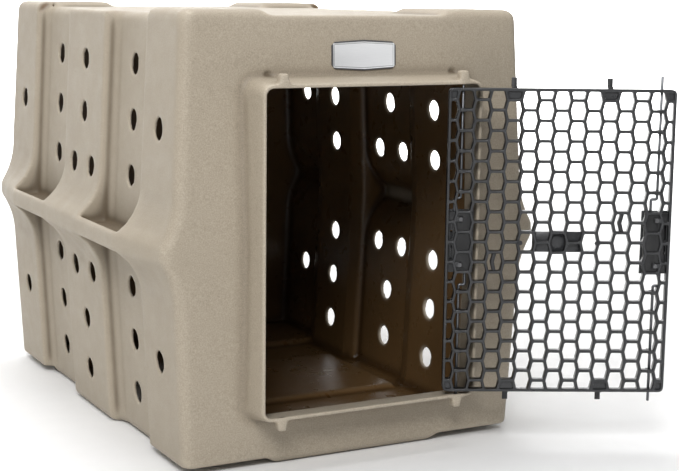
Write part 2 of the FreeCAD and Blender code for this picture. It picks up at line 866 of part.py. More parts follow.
def build_rod(label, side, way):
    """Round steel rod: straight run into the rim, crank, short end in its slider."""
    x, lane, radius = rod_line_x(side), lane_x(side, way), dim("rod_radius")
    jog, end = dim("rod_jog_z"), dim("rod_end_z")
    tip = dim("door_height") / 2 + (dim("rod_tip") if way > 0 else dim("rod_tip_low"))
    run_low, run_high = along(way, jog, tip)
    end_low, end_high = along(way, end, jog)
    bend_z = run_low if way > 0 else run_high
    crank_x = x if way > 0 else lane
    pieces = [
        rod_piece(f"{label}_run", radius, (x, ZERO, run_low), run_high - run_low, "z"),
        rod_piece(f"{label}_crank", radius, (crank_x, ZERO, bend_z), dim("rod_jog_x"), "x"),
        rod_piece(f"{label}_end", radius, (lane, ZERO, end_low), end_high - end_low, "z"),
        ball(f"{label}_bend_a", radius, (x, ZERO, bend_z)),
        ball(f"{label}_bend_b", radius, (lane, ZERO, bend_z)),
    ]
    rod = join(label, pieces)
    rod.Label = label
    return hang(rod)


def slider_inner_end():
    """Distance from the door's middle to the slider end that the spring pushes on."""
    return dim("rod_end_z") + dim("slider_over_rod") - dim("slider_height")


def build_slider(label, side, way):
    """Sliding block on the rod's end with a finger tab standing out through the cover."""
    x = lane_x(side, way)
    half, tab_half = dim("slider_width") / 2, dim("tab_width") / 2
    low, high = slider_inner_end(), slider_inner_end() + dim("slider_height")
    front, back = -dim("slider_front"), dim("slider_back")
    low_z, high_z = along(way, low, high)
    tab_low, tab_high = along(way, high - dim("tab_height"), high)
    hole_low, hole_high = along(way, dim("rod_end_z"), high + 1)
    block = box(f"{label}_block", (x - half, front, low_z), (x + half, back, high_z))
    tab = box(f"{label}_tab", (x - tab_half, -dim("tab_tip"), tab_low), (x + tab_half, front + 1, tab_high))
    hole = rod_piece(f"{label}_socket", dim("rod_radius"), (x, ZERO, hole_low), hole_high - hole_low, "z")
    slider = subtract(label, join(f"{label}_blank", [block, tab]), hole)
    slider.Label = label
    return hang(slider)


def build_spring(label, side, way):
    """Coil spring between a slider and the far end of its lane."""
    wire = size("spring_wire")
    start = -size("latch_half_height") + size("latch_wall") + wire
    length = slider_inner_end().value - wire - start
    helix = Part.makeHelix(size("spring_pitch"), length, size("spring_radius"))
    profile = Part.Wire(Part.makeCircle(wire, Vector(size("spring_radius"), 0, 0), Vector(0, 1, 0)))
    coil = Part.Wire(helix.Edges).makePipeShell([profile], True, True)
    turn = Rotation(Vector(1, 0, 0), 0 if way > 0 else 180)
    base = Vector(lane_x(side, way).value, 0, DOOR_MIDDLE_Z.value + way * start)
    placed = coil.transformed(Placement(base, turn).toMatrix(), True)
    return hang(plain_feature(label, only_solid(placed)))


def lane_cutters(label, side, low_y, high_y, play):
    """Slots that the two finger tabs travel in."""
    slots = []
    for way, word in ((1, "upper"), (-1, "lower")):
        x, half = lane_x(side, way), dim("tab_width") / 2 + play
        high = slider_inner_end() + dim("slider_height")
        low = high - dim("tab_height") - dim("slider_travel")
        low_z, high_z = along(way, low - play, high + play)
        slots.append(box(f"{label}_slot_{word}", (x - half, low_y, low_z), (x + half, high_y, high_z)))
    return slots


def build_latch_case(label, side):
    """Tray let into the panel, with a spine between its two lanes and holes for rods and screws."""
    low_x, high_x = latch_span(side)
    wall, tall = dim("latch_wall"), dim("latch_half_height")
    front, back = -dim("case_front"), dim("case_back")
    low_z, high_z = along(1, -tall, tall)
    tray = box(f"{label}_block", (low_x, front, low_z), (high_x, back, high_z))
    room = box(f"{label}_room", (low_x + wall, front - 1, low_z + wall),
               (high_x - wall, back - wall, high_z - wall))
    x, spine_half = rod_line_x(side), dim("spine_width") / 2
    spine_low, spine_high = along(1, -dim("spine_half_height"), dim("spine_half_height"))
    spine = box(f"{label}_spine", (x - spine_half, front, spine_low),
                (x + spine_half, back - wall / 2, spine_high))
    holes = []
    for way, word in ((1, "upper"), (-1, "lower")):
        start, end = along(way, tall - wall - 1, tall + 1)
        clear = dim("rod_radius") + dim("rod_clearance")
        holes.append(rod_piece(f"{label}_rod_hole_{word}", clear, (lane_x(side, way), ZERO, start),
                               end - start, "z"))
        holes.append(rod_piece(f"{label}_screw_hole_{word}", dim("screw_shank") + 0.1,
                               (x, back - wall - 1, DOOR_MIDDLE_Z + dim("screw_z") * way), wall + 2, "y"))
        low, high = along(way, dim("window_low"), dim("window_high"))
        edge = high_x - wall - dim("window_width") if side > 0 else low_x + wall
        holes.append(box(f"{label}_window_{word}", (edge, back - wall - 1, low),
                         (edge + dim("window_width"), back + 1, high)))
    hollow = subtract(f"{label}_hollow", tray, room)
    case = subtract(label, join(f"{label}_body", [hollow, spine]), join(f"{label}_holes", holes))
    case.Label = label
    return hang(case)


def build_latch_cover(label, side):
    """Front cover with a lapping flange, two finger slots and two screw posts."""
    low_x, high_x = latch_span(side)
    tall, lap = dim("latch_half_height"), dim("cover_lap")
    low_z, high_z = along(1, -tall, tall)
    face, inside = -dim("cover_front"), -dim("case_front")
    plug = box(f"{label}_plug", (low_x, face, low_z), (high_x, inside, high_z))
    flange = box(f"{label}_flange", (low_x - lap, face, low_z - lap),
                 (high_x + lap, face + dim("cover_flange"), high_z + lap))
    x, post_end = rod_line_x(side), dim("case_back") - dim("latch_wall")
    solids, holes = [plug, flange], lane_cutters(label, side, face - 1, inside + 1, dim("tab_play"))
    for way, word in ((1, "upper"), (-1, "lower")):
        z = DOOR_MIDDLE_Z + dim("screw_z") * way
        solids.append(rod_piece(f"{label}_post_{word}", dim("post_radius"), (x, face + 1, z),
                                post_end - face - 1, "y"))
        holes.append(rod_piece(f"{label}_thread_{word}", dim("screw_shank"), (x, -dim("screw_end"), z),
                               dim("screw_end") + post_end + 1, "y"))
    cover = subtract(label, join(f"{label}_body", solids), join(f"{label}_holes", holes))
    cover.Label = label
    return hang(cover)


def build_latch_screws(label, side):
    """Two pan-head screws put in from the inner face of the door."""
    x, back = rod_line_x(side), dim("door_thick") - dim("door_front")
    screws = []
    for way, word in ((1, "upper"), (-1, "lower")):
        z = DOOR_MIDDLE_Z + dim("screw_z") * way
        shank = rod_piece(f"{label}_shank_{word}", dim("screw_shank"), (x, -dim("screw_end"), z),
                          back + dim("screw_end") + 0.5, "y")
        head = rod_piece(f"{label}_head_{word}", dim("screw_head"), (x, back, z),
                         dim("screw_head_height"), "y")
        cut = dim("screw_head") / 4
        drive = box(f"{label}_drive_{word}", (x - dim("screw_head"), back + cut * 1.5, z - cut / 2),
                    (x + dim("screw_head"), back + dim("screw_head_height") + 1, z + cut / 2))
        screws.append(subtract(f"{label}_{word}", join(f"{label}_blank_{word}", [shank, head]), drive))
    group = doc.addObject("Part::Compound", label)
    group.Links = screws
    group.Label = label
    return hang(group)


# ---------------------------------------------------------------- small hardware on the door

def build_stop_tab(label, side, way):
    """Strip with two bends: pressed into the door edge, then standing in front of the rim."""
    body = new_body(label)
    thick, edge = dim("stop_thick"), dim("door_height") / 2
    foot, gap = edge - dim("stop_foot"), edge + dim("stop_gap")
    tip, lean = edge + dim("stop_rise"), -dim("stop_lean")
    outline = [(-thick, foot), (ZERO, foot), (ZERO, gap + thick), (lean, gap + thick), (lean, tip),
               (lean - thick, tip), (lean - thick, gap), (-thick, gap)]
    if way > 0:
        points = [(y, DOOR_MIDDLE_Z + z) for y, z in outline]
    else:
        points = [(y, DOOR_MIDDLE_Z - z) for y, z in reversed(outline)]
    strip = outline_sketch(body, f"{label}_outline", "YZ_Plane", points)
    offset = DOOR_CENTRE_X + dim("stop_x") * side - dim("stop_width") / 2
    strip.setExpression(".AttachmentOffset.Base.z", offset.text)
    pad(body, strip, dim("stop_width"))
    return hang(body)


def build_badge(label):
    """Blank plate let into the outer face, with a raised disc towards the inside."""
    x, half, tall = DOOR_CENTRE_X, dim("badge_half_width"), dim("badge_half_height")
    front = -dim("door_front")
    low_z, high_z = along(1, -tall, tall)
    back = front + dim("badge_depth")
    plate = box(f"{label}_plate", (x - half, front, low_z), (x + half, back - dim("badge_relief"), high_z))
    disc = rod_piece(f"{label}_disc", dim("badge_disc"), (x, front + 1, DOOR_MIDDLE_Z),
                     dim("badge_depth") - 1, "y")
    badge = join(label, [plate, disc])
    badge.Label = label
    return hang(badge)


def build_pin(label, side):
    """Small round guide pin standing on the inner face."""
    back = dim("door_thick") - dim("door_front")
    x = DOOR_CENTRE_X + dim("pin_x") * side
    radius, height = dim("pin_radius"), dim("pin_height")
    stem = rod_piece(f"{label}_stem", radius * 0.7, (x, back, DOOR_MIDDLE_Z), height, "y")
    cap = rod_piece(f"{label}_cap", radius, (x, back + height / 2, DOOR_MIDDLE_Z), height / 2, "y")
    pin = join(label, [stem, cap])
    pin.Label = label
    return hang(pin)


def build_hook_clip(label, side):
    """Bowed clip wedged between the top and bottom walls of one cell."""
    body = new_body(label)
    x = DOOR_CENTRE_X + dim("clip_x") * side
    z = DOOR_MIDDLE_Z - dim("clip_z") * side
    half, tall, bow = dim("clip_half_width"), dim("clip_half_height"), dim("clip_bow")
    outline = [(-half, -tall), (half, -tall), (half + bow, ZERO), (half, tall), (-half, tall),
               (-half + bow, ZERO)]
    points = [(x + across, z + up) for across, up in outline]
    profile = outline_sketch(body, f"{label}_outline", "XZ_Plane", points)
    offset = dim("clip_depth") / 2 * -1 - 1
    profile.setExpression(".AttachmentOffset.Base.z", offset.text)
    pad(body, profile, dim("clip_depth"))
    return hang(body)


# ---------------------------------------------------------------- assembly

def build_all():
    nodes = [build_shell(), build_nameplate(), build_door_panel()]
    for side, edge in ((1, "hinge"), (-1, "free")):
        nodes.append(build_latch_case(f"latch_case_{edge}", side))
        nodes.append(build_latch_cover(f"latch_cover_{edge}", side))
        nodes.append(build_latch_screws(f"latch_screws_{edge}", side))
        for way, word in ((1, "upper"), (-1, "lower")):
            nodes.append(build_rod(f"rod_{word}_{edge}", side, way))
            nodes.append(build_slider(f"slider_{word}_{edge}", side, way))
            nodes.append(build_spring(f"spring_{word}_{edge}", side, way))
            nodes.append(build_stop_tab(f"stop_tab_{word}_{edge}", side, way))
        nodes.append(build_pin(f"guide_pin_{edge}", side))
        nodes.append(build_hook_clip(f"hook_clip_{edge}", side))
    nodes.append(build_badge("centre_plate"))
    return nodes


def check_document():
    for obj in doc.Objects:
        if "Invalid" in obj.State or "Error" in obj.State:
            raise RuntimeError(f"{obj.Label}: {obj.State}")
        shape = getattr(obj, "Shape", None)
        if shape is None or obj.TypeId.startswith(("App::", "Sketcher::", "Spreadsheet::")):
            continue
        if shape.isNull() or not shape.isValid():
            raise RuntimeError(f"{obj.Label}: null or invalid shape")


parts = build_all()
doc.recompute()
check_document()
os.makedirs("parts", exist_ok=True)
for part in parts:
    part.Shape.exportStep(f"parts/{part.Label}.step")
    limits = part.Shape.BoundBox
    print(part.Label, len(part.Shape.Solids), round(part.Shape.Volume / 1000, 2),
          [round(value, 1) for value in (limits.XMin, limits.YMin, limits.ZMin,
                                         limits.XMax, limits.YMax, limits.ZMax)])
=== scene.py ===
import json
import math

import bmesh
import bpy
import numpy as np
from mathutils import Matrix, Vector
from mathutils.geometry import delaunay_2d_cdt

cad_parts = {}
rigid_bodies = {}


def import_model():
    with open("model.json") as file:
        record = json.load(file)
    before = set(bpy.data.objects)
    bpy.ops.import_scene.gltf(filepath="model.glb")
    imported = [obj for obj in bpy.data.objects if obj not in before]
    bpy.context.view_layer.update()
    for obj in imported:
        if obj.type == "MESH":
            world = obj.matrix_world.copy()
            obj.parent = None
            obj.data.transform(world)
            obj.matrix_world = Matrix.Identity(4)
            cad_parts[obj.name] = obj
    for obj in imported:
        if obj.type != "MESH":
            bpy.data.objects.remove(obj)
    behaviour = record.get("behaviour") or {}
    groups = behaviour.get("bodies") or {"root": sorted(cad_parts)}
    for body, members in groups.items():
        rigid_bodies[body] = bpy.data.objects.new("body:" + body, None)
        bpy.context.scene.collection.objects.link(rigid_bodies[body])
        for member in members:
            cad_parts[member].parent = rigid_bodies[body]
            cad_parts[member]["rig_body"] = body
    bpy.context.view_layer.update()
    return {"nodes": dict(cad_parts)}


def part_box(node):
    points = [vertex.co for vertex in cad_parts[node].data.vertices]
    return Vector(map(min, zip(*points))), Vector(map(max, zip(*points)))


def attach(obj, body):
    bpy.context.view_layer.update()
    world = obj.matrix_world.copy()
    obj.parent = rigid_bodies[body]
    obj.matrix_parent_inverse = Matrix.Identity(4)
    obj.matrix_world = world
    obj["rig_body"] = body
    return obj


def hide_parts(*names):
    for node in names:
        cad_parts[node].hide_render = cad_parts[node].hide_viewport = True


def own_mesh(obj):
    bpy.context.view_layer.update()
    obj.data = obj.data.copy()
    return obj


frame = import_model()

nodes = frame["nodes"]
MM = 0.001

# ------------------------------------------------------------------ door sizes, in millimetres
ROD_X = 136.5                             # rods and latches, either side of the door's middle
PIVOT = Vector((ROD_X, -414.0, 0.0))      # hinge axis
DOOR_ANGLE = 153.6                        # how far the door stands open at rest
# open door's face direction; faces turned away from it get painted shade
DOOR_FACE = (-math.sin(math.radians(DOOR_ANGLE)), math.cos(math.radians(DOOR_ANGLE)), 0.0)
DOOR_X, DOOR_Z = -ROD_X, 297.0            # door's middle, from the pivot
HALF_W, HALF_H = 156.6, 213.0             # panel
FACE_OUT, FACE_IN = -5.0, 7.0             # outer and inner faces, from the plane of the rods
PANEL_RIM, PANEL_CORNER = 4.0, 8.0        # solid border, and the radius of the outer corners
EDGE_ROUND, EDGE_STEPS = 1.2, 3           # rounding of the web edges
PITCH_X, PITCH_Z = 22.0, 28.12            # honeycomb columns and rows
LAST_COLUMN = 7
FILLED_COLUMNS = (3, 7)                   # their end cells are closed by a floor
CELL_WEB, CELL_WAIST, CELL_FLAT, CELL_ROUND = 3.8, 10.6, 7.7, 2.2
CELL_FLOOR = 3.2                          # depth of a filled cell's floor below the inner face
ROD_R, ROD_TRAVEL, ROD_JOG, ROD_BEND = 2.0, 15.5, 8.3, 2.6
ROD_JOG_Z, ROD_END_Z = 61.0, 30.6         # height of the jog and of the rod's inner end
ROD_REACH = {"upper": 18.0, "lower": 14.0}
LATCH_INNER, LATCH_OUTER = 17.3, 15.8     # latch pocket, towards the panel's middle and away from it
LATCH_HALF_Z, LATCH_DEPTH = 42.3, 4.5
CHANNEL_Z, CHANNEL_HALF, CHANNEL_DEPTH = (41.0, 63.3), 2.3, 2.3
PLATE_SEAT = (35.0, 14.3, -0.4)           # half width, half height and depth of the centre plate's seat
EDGES = (("hinge", 1), ("free", -1))
WAYS = (("upper", 1), ("lower", -1))

# ------------------------------------------------------------------ body sizes, in metres
VOXEL = 0.0022
RELAX_STEPS, RELAX_RATE = 9, 0.55
RIM_HOLD, HOLE_HOLD = 0.86, 0.80          # how much the rim and the vent holes keep their shape
BROAD_STEPS, BROAD_RATE = 60, 0.6         # smoothing of the copy that shows hollows and proud edges
# how deep a hollow must be to get painted shade, and over what depth it reaches full shade
CREASE_SHADE_FROM, CREASE_SHADE_SPAN = 0.0002, 0.0017
EDGE_FROM, EDGE_SPAN = 0.0010, 0.0022
BELT_Z = 0.2995                           # parting plane
FRONT_Y, FRONT_BACK = -0.385, -0.350      # front wall, from just before it to just behind it
RIM_Y = -0.383                            # where the doorway rim stands off the front wall
SIDE_X, REAR_Y = 0.2, 0.3                 # beyond these a point is on a side wall or the rear wall
# the cabin, whose inner faces get painted shade
CABIN_X, CABIN_Y = 0.300, (-0.372, 0.376)
CABIN_MIDDLE = np.array((0.0, 0.0, 0.3))
SIDE_WALL_X, SIDE_DRAFT = 0.2725, 0.0505  # side wall at the parting plane, and its lean per metre of height
GROOVE_Y = (0.082, 0.244)                 # a side groove, from the middle of the side
GROOVE_STEPS = ((0.0105, 0.0025), (0.0055, 0.0235))  # depth and run: a steep step, then a gentle one
POCKET_HALF_Z, POCKET_X = 0.0115, 0.3000  # floor of a groove where it crosses the belt
VENT_ROWS = (0.079, 0.157, 0.235)         # above and below the parting plane
VENT_FULL_Y = 0.163                       # columns with a hole in every row
VENT_LOW_Y, VENT_MIDDLE_Y = 0.0382, 0.301  # single holes in the first and the second row
REAR_VENT_X, REAR_VENT_Z = (-0.078, 0.0, 0.078), (0.1425, 0.4565)
VENT_LINING, VENT_HOLD = 0.0170, 0.024    # radius of a hole's lining, and of the part that keeps its shape
BORE_CLEAR, BORE_CORE = 0.0034, 0.0025    # radius kept clear about a rod, and of the middle of its hole
BORE_Z = ((0.063, 0.086), (0.508, 0.5312))
DIMPLE_X, DIMPLE_Z = (-0.1375, 0.1460), 0.5265
DIMPLE_R, DIMPLE_FADE, DIMPLE_DEPTH = 0.0085, 0.004, 0.0030
PLATE_TAPER = 0.051                       # how the nameplate gets lower towards its ends


# ------------------------------------------------------------------ materials
class Nodes:
    """Small helper that adds nodes to a material and links them."""

    def __init__(self, name):
        self.mat = bpy.data.materials.new(name)
        self.mat.use_nodes = True
        self.tree = self.mat.node_tree
        self.tree.nodes.clear()
        self.out = self.tree.nodes.new("ShaderNodeOutputMaterial")
        self.bsdf = self.tree.nodes.new("ShaderNodeBsdfPrincipled")
        self.link(self.bsdf.outputs[0], self.out.inputs["Surface"])
        self.coord = self.tree.nodes.new("ShaderNodeTexCoord").outputs["Object"]

    def link(self, a, b):
        self.tree.links.new(a, b)

    def put(self, socket, value):
        if isinstance(value, bpy.types.NodeSocket):
            self.link(value, socket)
        else:
            socket.default_value = value

    def noise(self, scale, detail=3.0, rough=0.5, vector=None):
        n = self.tree.nodes.new("ShaderNodeTexNoise")
        n.inputs["Scale"].default_value = scale
        n.inputs["Detail"].default_value = detail
        n.inputs["Roughness"].default_value = rough
        self.link(vector or self.coord, n.inputs["Vector"])
        return n.outputs["Fac"]

    def voronoi(self, scale, feature="F1"):
        n = self.tree.nodes.new("ShaderNodeTexVoronoi")
        n.feature = feature
        n.inputs["Scale"].default_value = scale
        self.link(self.coord, n.inputs["Vector"])
        return n.outputs["Distance"]

    def stretch(self, scale):
        n = self.tree.nodes.new("ShaderNodeMapping")
        n.inputs["Scale"].default_value = scale
        self.link(self.coord, n.inputs["Vector"])
        return n.outputs["Vector"]

    def remap(self, value, low, high, to_low=0.0, to_high=1.0, smooth=False):
        n = self.tree.nodes.new("ShaderNodeMapRange")
        n.interpolation_type = "SMOOTHSTEP" if smooth else "LINEAR"
        self.link(value, n.inputs["Value"])
        ends = {"From Min": low, "From Max": high, "To Min": to_low, "To Max": to_high}
        for key, number in ends.items():
            n.inputs[key].default_value = number
        return n.outputs["Result"]

    def math(self, kind, a, b=0.0):
        n = self.tree.nodes.new("ShaderNodeMath")
        n.operation = kind
        self.put(n.inputs[0], a)
        self.put(n.inputs[1], b)
        return n.outputs[0]

    def mix(self, factor, a, b, blend="MIX"):
        n = self.tree.nodes.new("ShaderNodeMix")
        n.data_type = "RGBA"
        n.blend_type = blend
        self.put(n.inputs[0], factor)
        self.put(n.inputs[6], a)
        self.put(n.inputs[7], b)
        return n.outputs[2]

    def axis(self, name):
        n = self.tree.nodes.new("ShaderNodeSeparateXYZ")
        self.link(self.coord, n.inputs[0])
        return n.outputs[name]

    def facing(self, direction):
        """How squarely the surface faces along a direction, either way."""
        n = self.tree.nodes.new("ShaderNodeVectorMath")
        n.operation = "DOT_PRODUCT"
        self.link(self.tree.nodes.new("ShaderNodeTexCoord").outputs["Normal"], n.inputs[0])
        n.inputs[1].default_value = direction
        return self.math("ABSOLUTE", n.outputs["Value"])

    def attribute(self, name):
        n = self.tree.nodes.new("ShaderNodeAttribute")
        n.attribute_name = name
        return n.outputs["Fac"]

    def bump(self, height, distance, strength=1.0, normal=None):
        n = self.tree.nodes.new("ShaderNodeBump")
        n.inputs["Strength"].default_value = strength
        n.inputs["Distance"].default_value = distance
        self.link(height, n.inputs["Height"])
        if normal is not None:
            self.link(normal, n.inputs["Normal"])
        return n.outputs["Normal"]

    def done(self, color, rough, normal, metallic=0.0, specular=0.5):
        self.put(self.bsdf.inputs["Base Color"], color)
        self.put(self.bsdf.inputs["Roughness"], rough)
        self.link(normal, self.bsdf.inputs["Normal"])
        self.bsdf.inputs["Metallic"].default_value = metallic
        self.bsdf.inputs["Specular IOR Level"].default_value = specular
        return self.mat


def rgb(r, g, b):
    return (r, g, b, 1.0)


def tan_material():
    """Rotomoulded polyethylene: mottling, fine grain, parting line, scuffed edges, painted shade inside the
    cabin and in creases.
    """
    n = Nodes("tan_polyethylene")
    broad = n.remap(n.noise(5.0, 4.0), 0.3, 0.7)
    color = n.mix(broad, rgb(0.366, 0.317, 0.246), rgb(0.340, 0.293, 0.225))
    fine = n.remap(n.noise(560.0, 2.0, 0.6), 0.25, 0.75, -0.5, 0.5)
    medium = n.remap(n.noise(150.0, 3.0, 0.6), 0.3, 0.7, -0.5, 0.5)
    front = n.remap(n.axis("Y"), -0.368, -0.356, 1.0, 0.35)
    grain = n.math("ADD", n.math("MULTIPLY", fine, 0.95), n.math("MULTIPLY", medium, 0.13))
    grain = n.math("MULTIPLY", grain, front)
    color = n.mix(n.math("ADD", 0.5, grain), n.mix(1.0, color, rgb(0.78, 0.77, 0.76), "MULTIPLY"),
                  n.mix(1.0, color, rgb(1.20, 1.20, 1.21), "MULTIPLY"))
    specks = n.remap(n.voronoi(210.0), 0.03, 0.16, 1.0, 0.0, True)
    rare = n.remap(n.noise(90.0, 1.0), 0.58, 0.66)
    color = n.mix(n.math("MULTIPLY", n.math("MULTIPLY", specks, rare), 0.35), color, rgb(0.22, 0.18, 0.13))
    # painted shade: the inner faces of the cabin are darkened and browned
    inside = n.attribute("inside")
    color = n.mix(inside, color, n.mix(1.0, color, rgb(0.36, 0.235, 0.12), "MULTIPLY"))
    # painted shade in creases and hollows, in the groove pockets at the belt and in the two dimples
    crease_shade = n.attribute("crease_shade")
    color = n.mix(crease_shade, color, n.mix(1.0, color, rgb(0.36, 0.32, 0.27), "MULTIPLY"))
    wear = n.attribute("edge")
    scratch = n.remap(n.noise(60.0, 5.0, 0.75, n.stretch((1.0, 0.25, 2.2))), 0.56, 0.66)
    wear = n.math("MULTIPLY", wear, n.math("ADD", 0.35, n.math("MULTIPLY", scratch, 0.65)))
    color = n.mix(n.math("MULTIPLY", wear, 0.40), color, rgb(0.60, 0.53, 0.43))
    rough = n.remap(n.noise(40.0, 4.0), 0.3, 0.7, 0.50, 0.64)
    rough = n.math("MULTIPLY", rough, n.remap(inside, 0.0, 1.0, 1.0, 0.52))
    line = n.math("ABSOLUTE", n.math("SUBTRACT", n.axis("Z"), BELT_Z))
    line = n.remap(line, 0.0003, 0.0011, -0.35, 0.0, True)
    pebble = n.remap(n.voronoi(420.0, "SMOOTH_F1"), 0.0, 0.7, 1.0, 0.0)
    height = n.math("ADD", n.math("MULTIPLY", pebble, 0.5), n.noise(900.0, 2.0))
    normal = n.bump(n.math("ADD", height, line), 0.00035, 0.75)
    normal = n.bump(n.noise(11.0, 2.0), 0.004, 0.35, normal)
    return n.done(color, rough, normal, specular=0.38)


def moulded_material(name, dark, light, rough_low, rough_high, grain=700.0):
    """Injection-moulded plastic with handled, slightly dusty faces and painted shade on the cell walls and
    other faces turned away from the door's face.
    """
    n = Nodes(name)
    broad = n.remap(n.noise(28.0, 4.0, 0.6), 0.32, 0.68)
    color = n.mix(broad, rgb(*dark), rgb(*light))
    dust = n.remap(n.noise(220.0, 5.0, 0.7), 0.52, 0.78)
    color = n.mix(n.math("MULTIPLY", dust, 0.28), color, rgb(*[c * 2.1 + 0.01 for c in light]))
    # painted shade: faces turned away from the open door's face, such as the cell walls, are darkened
    face = n.remap(n.facing(DOOR_FACE), 0.72, 0.97)
    color = n.mix(face, n.mix(1.0, color, rgb(0.22, 0.22, 0.22), "MULTIPLY"), color)
    rough = n.remap(n.noise(75.0, 4.0, 0.6), 0.3, 0.7, rough_low, rough_high)
    scratch = n.noise(170.0, 4.0, 0.8, n.stretch((0.3, 1.0, 3.0)))
    height = n.math("ADD", n.noise(grain, 2.0), n.math("MULTIPLY", scratch, 0.6))
    return n.done(color, rough, n.bump(height, 0.00012, 0.8))


def metal_material(name, dark, light, rough_low, rough_high, direction):
    """Drawn or rolled metal with fine lines along its length and dull patches."""
    n = Nodes(name)
    lines = n.noise(260.0, 4.0, 0.7, n.stretch(direction))
    broad = n.remap(n.noise(45.0, 3.0), 0.3, 0.7)
    color = n.mix(n.math("MULTIPLY", n.math("ADD", lines, broad), 0.5), rgb(*dark), rgb(*light))
    rough = n.remap(n.noise(120.0, 4.0, 0.6), 0.3, 0.7, rough_low, rough_high)
    return n.done(color, rough, n.bump(lines, 0.00006, 0.7), metallic=1.0)


def plate_material():
    """Satin silver plate with a double dark printed line round its edge."""
    n = Nodes("silver_plate")
    low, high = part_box("nameplate")
    cx, cz = (low.x + high.x) / 2, (low.z + high.z) / 2
    across = n.math("ABSOLUTE", n.math("SUBTRACT", n.axis("X"), cx))
    dx = n.math("SUBTRACT", (high.x - low.x) / 2, across)
    tall = n.math("SUBTRACT", (high.z - low.z) / 2, n.math("MULTIPLY", across, PLATE_TAPER))
    dz = n.math("SUBTRACT", tall, n.math("ABSOLUTE", n.math("SUBTRACT", n.axis("Z"), cz)))
    inset = n.math("MINIMUM", dx, dz)
    broad_line = n.remap(inset, 0.0020, 0.0023, 1.0, 0.0)
    thin_line = n.math("MULTIPLY", n.remap(inset, 0.0034, 0.0036), n.remap(inset, 0.0041, 0.0043, 1.0, 0.0))
    lines = n.math("MAXIMUM", broad_line, n.math("MULTIPLY", thin_line, 0.75))
    brushed = n.noise(300.0, 4.0, 0.6, n.stretch((0.2, 1.0, 4.0)))
    silver = n.mix(brushed, rgb(0.70, 0.72, 0.74), rgb(0.82, 0.83, 0.85))
    color = n.mix(n.math("MULTIPLY", lines, 0.93), silver, rgb(0.045, 0.045, 0.05))
    rough = n.remap(n.noise(80.0, 3.0), 0.3, 0.7, 0.38, 0.52)
    return n.done(color, rough, n.bump(brushed, 0.00004, 0.6), metallic=0.35)


TAN = tan_material()
CHARCOAL = moulded_material("charcoal_plastic", (0.020, 0.0208, 0.0225), (0.032, 0.033, 0.0355), 0.26, 0.42)
LATCH = moulded_material("latch_plastic", (0.0045, 0.0046, 0.005), (0.009, 0.0092, 0.010), 0.30, 0.46)
BLACK = moulded_material("black_plastic", (0.012, 0.012, 0.013), (0.020, 0.020, 0.022), 0.35, 0.55)
STRIP = moulded_material("black_strip", (0.010, 0.010, 0.011), (0.018, 0.018, 0.019), 0.30, 0.50, 1200.0)
ROD = metal_material("rod_steel", (0.10, 0.105, 0.115), (0.19, 0.195, 0.205), 0.34, 0.55, (6.0, 6.0, 0.5))
SPRING = metal_material("spring_steel", (0.34, 0.34, 0.35), (0.50, 0.50, 0.51), 0.25, 0.42, (4.0, 4.0, 4.0))
SCREW = metal_material("screw_steel", (0.10, 0.10, 0.105), (0.20, 0.20, 0.205), 0.22, 0.40, (3.0, 3.0, 3.0))
PLATE = plate_material()


# ------------------------------------------------------------------ mesh helpers
def add_object(name, data):
    obj = bpy.data.objects.new(name, data)
    bpy.context.scene.collection.objects.link(obj)
    return obj


def turn_outwards(mesh):
    bm = bmesh.new()
    bm.from_mesh(mesh)
    bmesh.ops.recalc_face_normals(bm, faces=bm.faces)
    bm.to_mesh(mesh)
    bm.free()


def paint(mesh, material, smooth_angle):
    mesh.materials.clear()
    mesh.materials.append(material)
    mesh.shade_smooth()
    mesh.set_sharp_from_angle(angle=math.radians(smooth_angle))


def new_object(name, verts, faces, material, smooth_angle=35.0):
    """Mesh object from millimetre points in the row frame."""
    mesh = bpy.data.meshes.new(name)
    mesh.from_pydata([tuple(c * MM for c in v) for v in verts], [], faces)
    mesh.validate()
    return finish_mesh(name, mesh, material, smooth_angle)


def finish_mesh(name, mesh, material, smooth_angle=35.0):
    """Object of the mesh, with outward normals, one material and smooth shading up to an angle."""
    turn_outwards(mesh)
    paint(mesh, material, smooth_angle)
    return add_object(name, mesh)


def apply_modifiers(obj):
    """Bake the modifiers into the mesh."""
    graph = bpy.context.evaluated_depsgraph_get()
    mesh = bpy.data.meshes.new_from_object(obj.evaluated_get(graph), depsgraph=graph)
    obj.modifiers.clear()
    old = obj.data
    obj.data = mesh
    bpy.data.meshes.remove(old)
    return obj


def stand_in(obj, node):
    """Show obj in place of a CAD node and let it move with that node's body."""
    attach(obj, nodes[node]["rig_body"])
    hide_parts(node)
    return obj


def door_to_row(points):
    """Points of the closed door, from the pivot, to the row frame with the door open."""
    turn = Matrix.Rotation(math.radians(DOOR_ANGLE), 4, "Z")
    return [turn @ Vector(p) + PIVOT for p in points]


def round_edges(obj, width, angle=30.0):
    """Bevel every edge that is sharper than the angle."""
    bevel = obj.modifiers.new("round", "BEVEL")
    bevel.width = width * MM
    bevel.segments = 2
    bevel.limit_method = "ANGLE"
    bevel.angle_limit = math.radians(angle)
    apply_modifiers(obj)


def softened(node, material, width):
    """The CAD shape with its flat faces joined up and its edges rounded."""
    mesh = nodes[node].data.copy()
    bm = bmesh.new()
    bm.from_mesh(mesh)
    bmesh.ops.remove_doubles(bm, verts=bm.verts, dist=1e-6)
    bmesh.ops.dissolve_limit(bm, angle_limit=math.radians(1.0), verts=bm.verts, edges=bm.edges)
    bm.to_mesh(mesh)
    bm.free()
    obj = finish_mesh(f"{node}_look", mesh, material)
    round_edges(obj, width, 40.0)
    obj.data.shade_smooth()
    obj.data.set_sharp_from_angle(angle=math.radians(50))
    return stand_in(obj, node)


